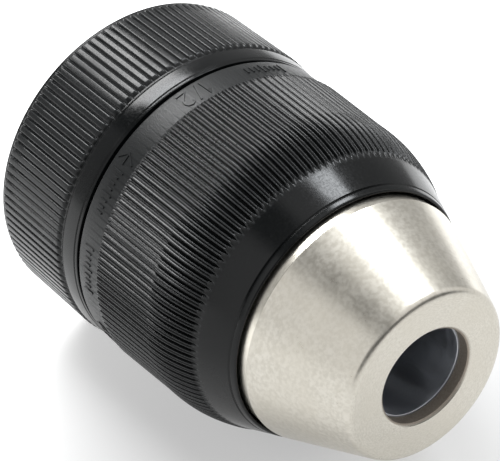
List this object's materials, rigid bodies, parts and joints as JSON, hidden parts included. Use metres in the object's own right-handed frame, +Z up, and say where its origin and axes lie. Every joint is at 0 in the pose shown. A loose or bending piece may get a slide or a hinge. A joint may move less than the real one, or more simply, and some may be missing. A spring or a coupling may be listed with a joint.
{
  "type": "drill chuck",
  "caption": "Keyless drill chuck with a turning front sleeve, a fixed rear sleeve, a nickel nose cone and inclined jaws that close on the shank.",
  "frame": {"origin": "on the surface that the chuck lies on, under the middle of its length and its axis", "axes": "+X along the chuck's axis, out of the mouth; +Z up; one jaw is straight below the axis"},
  "size_m": [0.0596, 0.0428, 0.0429],
  "materials": {
    "nickel": "satin nickel plate with fine turning marks",
    "sleeve_plastic": "black moulded nylon, matte on the grips and glossy on the bands",
    "body_steel": "turned steel, lightly oiled",
    "zinc_plate": "zinc-plated sheet",
    "spring_steel": "blackened spring steel",
    "hardened_steel": "ground hardened steel",
    "nut_steel": "heat-treated steel",
    "jaw_steel": "hardened steel, ground on the grip faces",
    "ball_steel": "polished bearing steel",
    "cage_nylon": "natural nylon"
  },
  "bodies": {
    "hub": {"chuck_body": "body_steel", "nose_piece": "nickel", "rear_sleeve": "sleeve_plastic", "rear_washer": "zinc_plate", "retaining_ring": "spring_steel", "bearing_race_rear": "hardened_steel"},
    "turning_sleeve": {"front_sleeve": "sleeve_plastic", "nut_band": "body_steel", "nut_half_a": "nut_steel", "nut_half_b": "nut_steel", "bearing_race_front": "hardened_steel"},
    "bearing": {"ball_cage": "cage_nylon", "bearing_ball_01": "ball_steel", "bearing_ball_02": "ball_steel", "bearing_ball_03": "ball_steel", "bearing_ball_04": "ball_steel", "bearing_ball_05": "ball_steel", "bearing_ball_06": "ball_steel", "bearing_ball_07": "ball_steel", "bearing_ball_08": "ball_steel", "bearing_ball_09": "ball_steel", "bearing_ball_10": "ball_steel", "bearing_ball_11": "ball_steel", "bearing_ball_12": "ball_steel"},
    "jaw_1": {"jaw_1": "jaw_steel"},
    "jaw_2": {"jaw_2": "jaw_steel"},
    "jaw_3": {"jaw_3": "jaw_steel"}
  },
  "joints": [
    {"name": "sleeve_turn", "type": "hinge", "parent": "hub", "child": "turning_sleeve", "pos_m": [0, 0, 0.02143], "axis": [-1, 0, 0], "range_deg": [0, 2700]},
    {"name": "bearing_roll", "type": "hinge", "parent": "hub", "child": "bearing", "pos_m": [0, 0, 0.02143], "axis": [-1, 0, 0], "range_deg": [0, 1350.5]},
    {"name": "jaw_1_slide", "type": "slide", "parent": "hub", "child": "jaw_1", "axis": [0.9563, 0, 0.2924], "range_m": [0, 0.01962]},
    {"name": "jaw_2_slide", "type": "slide", "parent": "hub", "child": "jaw_2", "axis": [0.9563, -0.2532, -0.1462], "range_m": [0, 0.01962]},
    {"name": "jaw_3_slide", "type": "slide", "parent": "hub", "child": "jaw_3", "axis": [0.9563, 0.2532, -0.1462], "range_m": [0, 0.01962]}
  ],
  "couplings": [
    {"joint": "bearing_roll", "follows": "sleeve_turn", "ratio": 0.5},
    {"joint": "jaw_1_slide", "follows": "sleeve_turn", "m_per_rad": 0.00041607},
    {"joint": "jaw_2_slide", "follows": "sleeve_turn", "m_per_rad": 0.00041607},
    {"joint": "jaw_3_slide", "follows": "sleeve_turn", "m_per_rad": 0.00041607}
  ]
}
